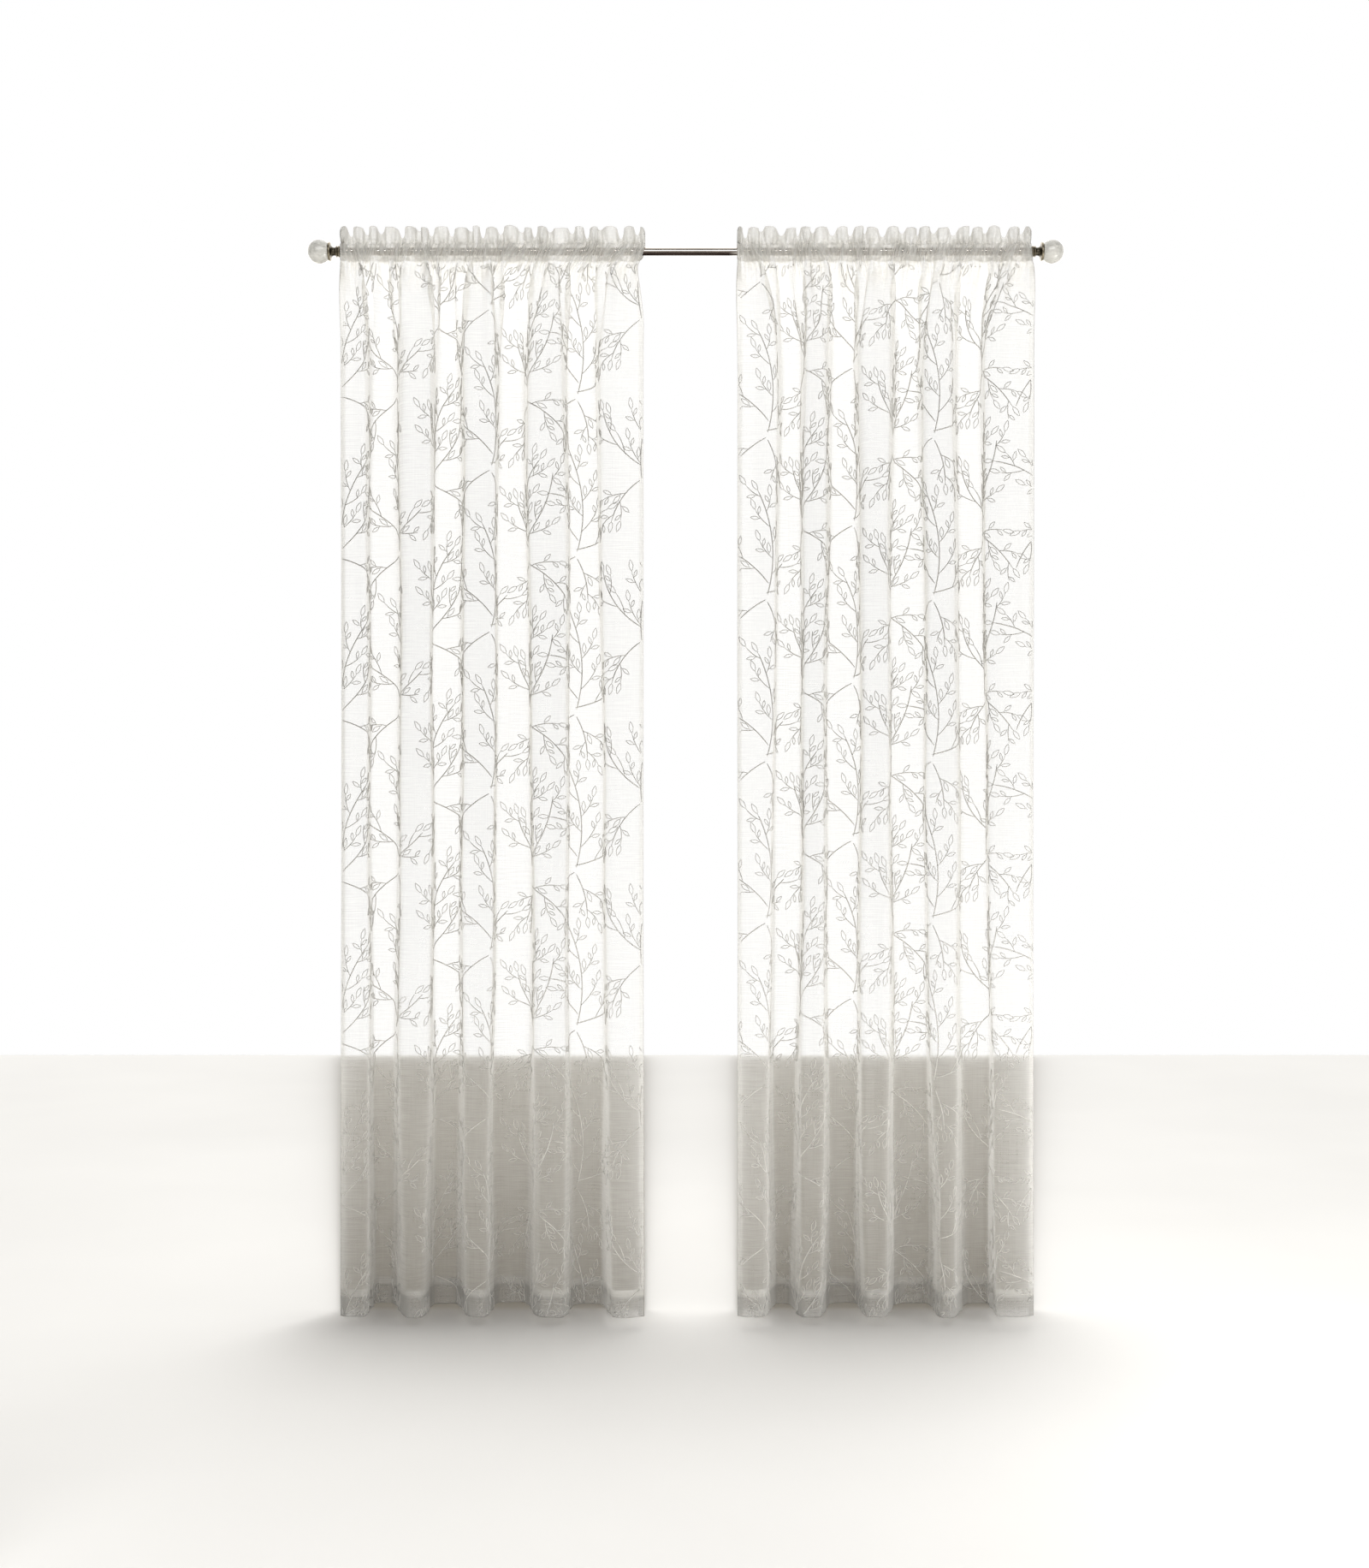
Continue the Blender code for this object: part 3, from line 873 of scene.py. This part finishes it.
def close_work(piece, sharp_degrees):
    """Leaves edit mode with every face turned outwards, and smooth but for edges over the angle."""
    bpy.ops.mesh.select_all(action="SELECT")
    bpy.ops.mesh.normals_make_consistent(inside=False)
    bpy.ops.object.mode_set(mode="OBJECT")
    bpy.ops.object.select_all(action="DESELECT")
    piece.select_set(True)
    bpy.context.view_layer.objects.active = piece
    bpy.ops.object.shade_smooth_by_angle(angle=math.radians(sharp_degrees))


def give(piece, material, nodes):
    """Puts a finished piece on the part: its material and the solids it stands for."""
    piece.data.materials.clear()
    piece.data.materials.append(material)
    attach(piece, "root")
    if nodes:
        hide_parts(*nodes)


class Nodes:
    """Adds and links the nodes of one material, or of the light around."""

    def __init__(self, owner, output="OutputMaterial"):
        self.owner = owner
        owner.use_nodes = True
        self.tree = owner.node_tree
        self.tree.nodes.clear()
        self.output = self.tree.nodes.new(f"ShaderNode{output}")

    def add(self, kind, inputs, output=0, **settings):
        """One output of a new node, whose inputs are filled with values or with other nodes' outputs."""
        node = self.tree.nodes.new(f"ShaderNode{kind}")
        for key, value in settings.items():
            setattr(node, key, value)
        for name, value in inputs.items():
            if isinstance(value, bpy.types.NodeSocket):
                self.tree.links.new(value, node.inputs[name])
            else:
                node.inputs[name].default_value = value
        return node.outputs[output]

    def math(self, operation, first, second=0.0, clamp=False):
        return self.add("Math", {0: first, 1: second}, operation=operation, use_clamp=clamp)

    def range(self, value, low, high, new_low, new_high):
        return self.add("MapRange", dict(enumerate((value, low, high, new_low, new_high))))

    def mix(self, share, first, second):
        return self.add("Mix", {0: share, 6: first, 7: second}, 2, data_type="RGBA")

    def mix_shader(self, share, first, second):
        return self.add("MixShader", {0: share, 1: first, 2: second})

    def stretched(self, source, scale, turn=0.0):
        return self.add("Mapping", {"Vector": source, "Scale": scale, "Rotation": (0.0, 0.0, turn)})

    def noise(self, source, scale, detail=2.0, roughness=0.5):
        inputs = {"Vector": source, "Scale": scale, "Detail": detail, "Roughness": roughness}
        return self.add("TexNoise", inputs, "Fac")

    def bump(self, height, strength, distance):
        return self.add("Bump", {"Height": height, "Strength": strength, "Distance": distance})

    def place(self):
        return self.add("TexCoord", {}, "Object")

    def axes(self, source):
        return self.add("SeparateXYZ", {0: source}).node.outputs

    def surface(self, shader):
        self.tree.links.new(shader, self.output.inputs["Surface"])
        return self.owner


def start_finish(name):
    return Nodes(bpy.data.materials.new(name))


def colour(rgb, share=1.0):
    """A colour for a node, dimmed or lightened by a share."""
    return (*(min(1.0, value * share) for value in rgb), 1.0)


def voile_finish(cloth):
    """Sheer plain weave: slubs and uneven yarns vary its cover, a slanting layer hides more than a flat
    one, and so do the fine puckers of the gathered heading."""
    work = start_finish("sheer_voile")
    flat = work.add("UVMap", {}, uv_map="flat")
    slubs = work.noise(work.stretched(flat, (16.0, 620.0, 1.0)), 1.0, 3.0, 0.6)
    warps = work.noise(work.stretched(flat, (620.0, 9.0, 1.0)), 1.0, 3.0, 0.6)
    clouds = work.noise(work.stretched(flat, (14.0, 9.0, 1.0)), 1.0, 2.0, 0.5)
    cover = work.math("ADD", cloth.cover, work.range(slubs, 0.3, 0.7, -0.035, 0.035))
    cover = work.math("ADD", cover, work.range(warps, 0.3, 0.7, -0.02, 0.02))
    cover = work.math("ADD", cover, work.range(clouds, 0.3, 0.7, -0.025, 0.025))
    height = work.axes(work.place())["Z"]
    below = work.range(height, 5 * SEAM_BELOW, SEAM_BELOW, 0.0, 1.0)
    above = work.range(height, SEAM_ABOVE, SEAM_ABOVE + 0.012, 1.0, 0.30)
    puckered = work.math("MULTIPLY", below, above)
    puckers = work.noise(work.stretched(flat, (36.0, 22.0, 1.0)), 1.0, 2.0, 0.5)
    puckered = work.math("MULTIPLY", puckered, work.range(puckers, 0.42, 0.58, 0.06, 0.66))
    cover = work.math("ADD", cover, puckered)
    facing = work.add("LayerWeight", {"Blend": 0.5}, "Facing")
    straight = work.math("MAXIMUM", work.math("SUBTRACT", 1.0, facing), 0.30)
    gaps = work.math("SUBTRACT", 1.0, cover, clamp=True)
    seen_through = work.math("POWER", gaps, work.math("DIVIDE", 1.0, straight))
    deep, pale = colour(cloth.yarn_colour, 0.95), colour(cloth.yarn_colour, 1.06)
    yarn = work.mix(work.range(slubs, 0.35, 0.65, 0.0, 1.0), deep, pale)
    # Painted shade: the yarn is darker in the ruffle above the pocket
    painted_heading_shade = work.range(height, SEAM_ABOVE - 0.002, SEAM_ABOVE + 0.006, 0.0, 1.0)
    yarn = work.mix(painted_heading_shade, yarn, colour(cloth.yarn_colour, 0.88))
    # Painted shade: the yarn is darker over the hem, but for a strip along its top
    doubled = work.range(height, HEM_TOP - 0.016, HEM_TOP - 0.010, 1.0, 0.0)
    yarn = work.mix(doubled, yarn, colour(cloth.yarn_colour, 0.78))
    face = {
        "Base Color": yarn,
        "Roughness": 0.72,
        "Specular IOR Level": 0.25,
        "Sheen Weight": 0.18,
        "Sheen Roughness": 0.45,
        "Normal": work.bump(work.math("ADD", slubs, warps), 0.2, 0.0003),
    }
    face = work.add("BsdfPrincipled", face)
    yarns = work.mix_shader(0.55, face, work.add("BsdfTranslucent", {"Color": yarn}))
    return work.surface(work.mix_shader(seen_through, yarns, work.add("BsdfTransparent", {})))


def thread_finish(cloth):
    """Satin stitch: twisted strands slant across the thread, with a soft lustre."""
    work = start_finish("embroidery_thread")
    along = work.add("UVMap", {}, uv_map="flat")
    twist = {
        "Vector": work.stretched(along, (1000.0, 1.2, 1.0), 0.35),
        "Scale": 0.32,
        "Distortion": 1.2,
        "Detail": 2.0,
    }
    strands = work.add("TexWave", twist, "Fac")
    uneven = work.noise(work.stretched(along, (90.0, 2.0, 1.0)), 1.0, 3.0, 0.6)
    # Painted shade: the thread is darker in the grooves between its strands, where their bump is low
    deep, thread = colour(cloth.thread_colour, 0.86), colour(cloth.thread_colour)
    shade = work.mix(work.range(strands, 0.1, 0.9, 0.0, 1.0), deep, thread)
    shade = work.mix(work.range(uneven, 0.35, 0.7, 0.0, 0.25), shade, colour((0.90, 0.89, 0.85)))
    face = {
        "Base Color": shade,
        "Roughness": 0.42,
        "Sheen Weight": 0.25,
        "Sheen Roughness": 0.35,
        "Normal": work.bump(strands, 0.6, 0.0003),
    }
    return work.surface(work.add("BsdfPrincipled", face))


def rod_finish(hardware):
    """Polished nickel with fine lengthwise brushing and a little tarnish; painted shade in the pockets, a
    painted dark reflection beneath.
    """
    work = start_finish("rod_nickel")
    place = work.place()
    brushing = work.noise(work.stretched(place, (14.0, 1500.0, 1500.0)), 1.0, 3.0, 0.6)
    tarnish = work.noise(work.stretched(place, (60.0, 120.0, 120.0)), 1.0, 4.0, 0.6)
    tarnished = work.range(tarnish, 0.4, 0.75, 0.0, 0.5)
    shade = work.mix(tarnished, colour(hardware.rod_colour), colour(hardware.rod_colour, 0.72))
    axes = work.axes(place)
    bare = work.range(work.math("ABSOLUTE", axes["X"]), 0.085, 0.105, 1.0, 0.0)
    # Painted dark reflection: the underside of the bare stretch is coloured near black
    painted_dark_reflection = work.math("MULTIPLY", work.range(axes["Z"], -0.0034, -0.0018, 1.0, 0.0), bare)
    # Painted shade: inside the pockets the rod takes a slightly darker colour, without tarnish
    shade = work.mix(bare, colour((0.55, 0.52, 0.48)), shade)
    face = {
        "Base Color": work.mix(painted_dark_reflection, shade, colour((0.05, 0.035, 0.03))),
        "Metallic": 1.0,
        "Roughness": work.range(brushing, 0.3, 0.7, 0.07, 0.16),
        "Normal": work.bump(brushing, 0.12, 0.0001),
    }
    return work.surface(work.add("BsdfPrincipled", face))


def neck_finish(hardware):
    """Aged brass: patina with painted shade in the hollows between the ridges, wear with a painted
    highlight on their crests.
    """
    work = start_finish("neck_aged_brass")
    place = work.place()
    patches = work.noise(place, 420.0, 4.0, 0.62)
    grain = work.noise(place, 2600.0, 3.0, 0.6)
    crest_pointiness = work.add("NewGeometry", {}, "Pointiness")
    # Painted highlight on the crests and painted shade in the hollows, along with wear and patina there
    bright = work.range(crest_pointiness, 0.49, 0.54, 0.0, 1.0)
    bright = work.math("MULTIPLY", bright, work.range(patches, 0.25, 0.6, 0.45, 1.0))
    face = {
        "Base Color": work.mix(bright, colour(hardware.neck_colour, 0.22), colour(hardware.neck_colour)),
        "Metallic": 1.0,
        "Roughness": work.range(patches, 0.3, 0.7, 0.42, 0.24),
        "Normal": work.bump(grain, 0.25, 0.0002),
    }
    return work.surface(work.add("BsdfPrincipled", face))


def ball_finish(hardware):
    """Milky glass with a glossy skin, and a faint crackle and cloudiness deep in it."""
    work = start_finish("ball_crackle_glass")
    place = work.place()
    clouds = work.noise(place, 60.0, 3.0, 0.5)
    cracks = []
    for scale, reach, strength in ((95.0, 0.12, 0.5), (210.0, 0.10, 0.25)):
        cells = {"Vector": place, "Scale": scale}
        away = work.add("TexVoronoi", cells, "Distance", feature="DISTANCE_TO_EDGE")
        cracks.append(work.range(away, 0.0, reach, strength, 0.0))
    broken = work.math("MAXIMUM", *cracks, clamp=True)
    deep, milky = colour(hardware.ball_colour, 0.88), colour(hardware.ball_colour)
    milky = work.mix(work.range(clouds, 0.35, 0.65, 0.0, 1.0), deep, milky)
    milk = {
        "Base Color": work.mix(work.math("MULTIPLY", broken, 0.25), milky, colour((0.80, 0.80, 0.76))),
        "Roughness": 0.3,
        "Coat Weight": 1.0,
        "Coat Roughness": 0.03,
        "Normal": work.bump(broken, 0.04, 0.0003),
    }
    glass = {
        "Base Color": colour((0.93, 0.93, 0.90)),
        "Roughness": 0.12,
        "IOR": 1.45,
        "Transmission Weight": 1.0,
        "Normal": work.bump(clouds, 0.1, 0.0008),
    }
    glass, milk = (work.add("BsdfPrincipled", inputs) for inputs in (glass, milk))
    return work.surface(work.mix_shader(work.range(broken, 0.0, 1.0, 0.87, 0.93), glass, milk))


def gauze_finish():
    """Lets a warm grey share of the light through."""
    work = start_finish("gauze")
    axes = work.axes(work.place())
    risen = work.range(axes["Z"], -2.03, -1.62, 0.0, 1.0)
    standing = work.mix(risen, colour((0.10, 0.09, 0.08)), colour((0.76, 0.75, 0.73)))
    away = work.range(axes["Y"], 0.2, 1.8, 0.0, 1.0)
    lying = work.mix(away, colour((0.22, 0.20, 0.168)), colour((0.28, 0.258, 0.223)))
    veil = work.mix(work.range(axes["Y"], 0.08, 0.09, 0.0, 1.0), standing, lying)
    return work.surface(work.add("BsdfTransparent", {"Color": veil}))


def floor_finish(pale):
    """Plain and matt, with a barely seen mottle."""
    work = start_finish("floor")
    mottle = work.noise(work.place(), 1.3, 2.0, 0.5)
    shade = work.mix(work.range(mottle, 0.3, 0.7, 0.0, 1.0), colour(pale, 0.96), colour(pale))
    face = {"Base Color": shade, "Roughness": 0.8, "Specular IOR Level": 0.1}
    return work.surface(work.add("BsdfPrincipled", face))


# The sewn panels, by side: each piece, the points of its cloth and the flat place of each row
CLOTHS = {}


class CURTAIN_OT_sew_panels(bpy.types.Operator):
    """Sew the two sheer panels: side hems, doubled bottom hem, pocket round the rod and ruffle above it"""

    bl_idname = "curtain.sew_panels"
    bl_label = "Sew Panels"

    def execute(self, context):
        cloth = context.scene.curtain_cloth
        voile = voile_finish(cloth)
        for panel in PANELS:
            grid, along = cloth_grid(panel, cloth.flat_width)
            rows, columns = grid.shape[:2]
            turned = SIDE_HEM * np.arange(1, SIDE_HEM_STEPS + 1) / SIDE_HEM_STEPS
            face = cloth.flat_width * np.arange(COLUMNS + 1) / COLUMNS
            across = np.concatenate([-turned[::-1], face, cloth.flat_width + turned])
            places = np.stack(np.meshgrid(across, along), axis=-1).reshape(-1, 2)
            name = f"voile_{panel[0]}"
            piece = add_mesh(name, grid.reshape(-1, 3), grid_faces(rows, columns), places)
            give(piece, voile, [f"panel_{panel[0]}"])
            CLOTHS[panel[0]] = (piece, grid, along)
        return {"FINISHED"}


class CURTAIN_OT_stitch_branches(bpy.types.Operator):
    bl_idname = "curtain.stitch_branches"
    bl_label = "Stitch Branches"

    def execute(self, context):
        if not CLOTHS:
            raise RuntimeError("sew the panels before stitching them")
        cloth = context.scene.curtain_cloth
        thread = thread_finish(cloth)
        for number, panel in enumerate(PANELS):
            piece, grid, along = CLOTHS[panel[0]]
            shift = [first + step * number for first, step in zip(CHART_START, CHART_STEP)]
            seam = [place for place, _ in sheet_rows()].index("pocket_front")
            lines = stitched_lines(cloth.flat_width, along[seam], shift)
            points, faces, places = stitch_tubes(lines, cloth.flat_width, grid, along)
            branches = add_mesh(f"branches_{panel[0]}", points, faces, places)
            give(branches, thread, [])
        return {"FINISHED"}


class CURTAIN_OT_draw_rod(bpy.types.Operator):
    """Draw the slim nickel tube that the panels hang on"""

    bl_idname = "curtain.draw_rod"
    bl_label = "Draw Rod"

    def execute(self, context):
        bpy.ops.object.select_all(action="DESELECT")
        bpy.ops.mesh.primitive_cylinder_add(
            vertices=64,
            radius=ROD_RADIUS,
            depth=2 * ROD_HALF_LENGTH,
            end_fill_type="NGON",
            rotation=(0, math.pi / 2, 0),
        )
        rod = start_piece("polished_rod")
        for _, side in ENDS:
            select_faces(rod, lambda centre, normal: normal.x * side > 0.9)
            bpy.ops.mesh.inset(thickness=ROD_WALL, use_individual=True)
            push_face(-side * TUBE_DEPTH)
        close_work(rod, 40)
        round_edges(rod, ROD_ROUNDING, 2, 30)
        give(rod, rod_finish(context.scene.curtain_hardware), ["rod"])
        return {"FINISHED"}


class CURTAIN_OT_turn_necks(bpy.types.Operator):
    """Turn the ridged brass neck at each end of the rod, ring by ring, with its cup for the ball"""

    bl_idname = "curtain.turn_necks"
    bl_label = "Turn Necks"

    def execute(self, context):
        brass = neck_finish(context.scene.curtain_hardware)
        for end, side in ENDS:
            start = side * (ROD_HALF_LENGTH + PIECE_GAP)
            bpy.ops.object.select_all(action="DESELECT")
            bpy.ops.mesh.primitive_circle_add(
                vertices=72,
                radius=NECK_PROFILE[0][1],
                fill_type="NGON",
                location=(start, 0, 0),
                rotation=(0, math.pi / 2, 0),
            )
            neck = start_piece(f"brass_neck_{end}")
            select_faces(neck, lambda centre, normal: True)
            for (before, narrow), (after, wide) in zip(NECK_PROFILE, NECK_PROFILE[1:]):
                push_face(side * (after - before))
                grow = wide / narrow
                bpy.ops.transform.resize(
                    value=(1, grow, grow), center_override=(start + side * after, 0, 0)
                )
            close_work(neck, 50)
            round_edges(neck, NECK_ROUNDING, 3, 28)
            give(neck, brass, [f"finial_neck_{end}"])
        return {"FINISHED"}


class CURTAIN_OT_blow_balls(bpy.types.Operator):
    """Blow the crackled glass ball of each finial, cut flat where it sits in its cup"""

    bl_idname = "curtain.blow_balls"
    bl_label = "Blow Balls"

    def execute(self, context):
        glass = ball_finish(context.scene.curtain_hardware)
        for end, side in ENDS:
            seat = ROD_HALF_LENGTH + 2 * PIECE_GAP + NECK_PROFILE[-1][0]
            centre = seat + math.sqrt(BALL_RADIUS**2 - BALL_SEAT_RADIUS**2)
            bpy.ops.object.select_all(action="DESELECT")
            bpy.ops.mesh.primitive_uv_sphere_add(
                segments=72,
                ring_count=40,
                radius=BALL_RADIUS,
                location=(side * centre, 0, 0),
                rotation=(0, math.pi / 2, 0),
            )
            ball = start_piece(f"glass_ball_{end}")
            bpy.ops.object.mode_set(mode="EDIT")
            bpy.ops.mesh.select_all(action="SELECT")
            bpy.ops.mesh.bisect(
                plane_co=(side * seat, 0, 0), plane_no=(side, 0, 0), clear_inner=True, use_fill=True
            )
            close_work(ball, 30)
            give(ball, glass, [f"finial_ball_{end}"])
        return {"FINISHED"}


class CURTAIN_OT_set_stage(bpy.types.Operator):
    """Set the pale floor, the soft light and the camera"""

    bl_idname = "curtain.set_stage"
    bl_label = "Set Stage"

    def execute(self, context):
        stage = context.scene.curtain_stage
        self.lay_floor(stage)
        self.fill_world(context)
        for name, place, tilt, turn, spread, width, height, power in LIGHTS:
            lamp = bpy.data.lights.new(name, "AREA")
            lamp.shape = "RECTANGLE"
            lamp.size, lamp.size_y = width, height
            lamp.energy = power
            lamp.spread = math.radians(spread)
            made = add_object(name, lamp)
            made.location = place
            made.rotation_euler = (math.radians(tilt), 0, math.radians(turn))
            made.visible_camera = False
        for side, _, left, right, _, _ in PANELS:
            self.hang_gauze(f"gauze_{side}", left, right, stage)
        lens = bpy.data.cameras.new("camera")
        lens.lens = stage.focal_length
        camera = add_object("camera", lens)
        camera.location = (stage.camera_shift, -stage.camera_distance, stage.camera_height)
        camera.rotation_euler = (math.pi / 2, 0, 0)
        context.scene.camera = camera
        context.scene.view_settings.view_transform = "Standard"
        context.scene.cycles.transparent_max_bounces = 64
        return {"FINISHED"}

    def lay_floor(self, stage):
        corners = [(side * FLOOR_HALF_WIDTH, y) for y in (FLOOR_NEAR, FLOOR_FAR) for side in (-1, 1)]
        floor = add_mesh("floor", [(x, y, stage.floor_height) for x, y in corners], [(0, 1, 3, 2)])
        floor.data.materials.append(floor_finish(FLOOR_COLOUR))

    def hang_gauze(self, name, left, right, stage):
        """A grey gauze that dims the light behind the foot of one panel and on the floor there, unseen
        by the camera. The left one also turns forwards past its panel's outer edge."""
        corners = []
        for y, z in (GAUZE_TOP, GAUZE_FOOT, GAUZE_FAR):
            wider = 1 + y / stage.camera_distance
            corners += [(left * wider, y, z), (right * wider, y, z)]
        quads = [(0, 1, 3, 2), (2, 3, 5, 4)]
        if right < 0:
            y, top = GAUZE_TOP
            for x, y in ((left, y), (left - GAUZE_WING, y - GAUZE_WING)):
                corners += [(x, y, z) for z in (top, WING_FOOT)]
            quads.append((6, 7, 9, 8))
        gauze = add_mesh(name, corners, quads)
        gauze.data.materials.append(gauze_finish())
        gauze.visible_camera = False

    def fill_world(self, context):
        """The light around changes with its direction. The camera sees plain white in its place."""
        work = Nodes(bpy.data.worlds.new("studio"), "OutputWorld")
        direction = work.axes(work.add("TexCoord", {}, "Generated"))
        strength = 0.0
        for axis, low, high, dim, strong in LIGHT_AROUND:
            strength = work.math("ADD", strength, work.range(direction[axis], low, high, dim, strong))
        light = work.add("Background", {"Color": colour(LIGHT_COLOUR), "Strength": strength})
        seen = work.add("Background", {"Color": colour((1.0, 1.0, 1.0))})
        camera = work.add("LightPath", {}, "Is Camera Ray")
        context.scene.world = work.surface(work.mix_shader(camera, light, seen))


class CURTAIN_PT_workshop(bpy.types.Panel):
    """The curtain's pieces, in the order in which they are made"""

    bl_label = "Sheer Voile Curtain"
    bl_idname = "CURTAIN_PT_workshop"
    bl_space_type = "VIEW_3D"
    bl_region_type = "UI"
    bl_category = "Curtain"

    def draw(self, context):
        for name in SETTINGS:
            settings = getattr(context.scene, name)
            box = self.layout.box()
            for key in settings.bl_rna.properties.keys():
                if key not in ("rna_type", "name"):
                    box.prop(settings, key)
        for operator in OPERATORS:
            self.layout.operator(operator.bl_idname)


OPERATORS = (
    CURTAIN_OT_draw_rod,
    CURTAIN_OT_turn_necks,
    CURTAIN_OT_blow_balls,
    CURTAIN_OT_sew_panels,
    CURTAIN_OT_stitch_branches,
    CURTAIN_OT_set_stage,
)
SETTINGS = {
    "curtain_cloth": ClothSettings,
    "curtain_hardware": HardwareSettings,
    "curtain_stage": StageSettings,
}
CLASSES = (*SETTINGS.values(), *OPERATORS, CURTAIN_PT_workshop)


def register():
    for kind in CLASSES:
        bpy.utils.register_class(kind)
    for name, settings in SETTINGS.items():
        setattr(bpy.types.Scene, name, PointerProperty(type=settings))


def unregister():
    for name in SETTINGS:
        delattr(bpy.types.Scene, name)
    for kind in reversed(CLASSES):
        bpy.utils.unregister_class(kind)


def main():
    register()
    bpy.ops.curtain.draw_rod()
    bpy.ops.curtain.turn_necks()
    bpy.ops.curtain.blow_balls()
    bpy.ops.curtain.sew_panels()
    bpy.ops.curtain.stitch_branches()
    bpy.ops.curtain.set_stage()


if __name__ == "__main__":
    main()
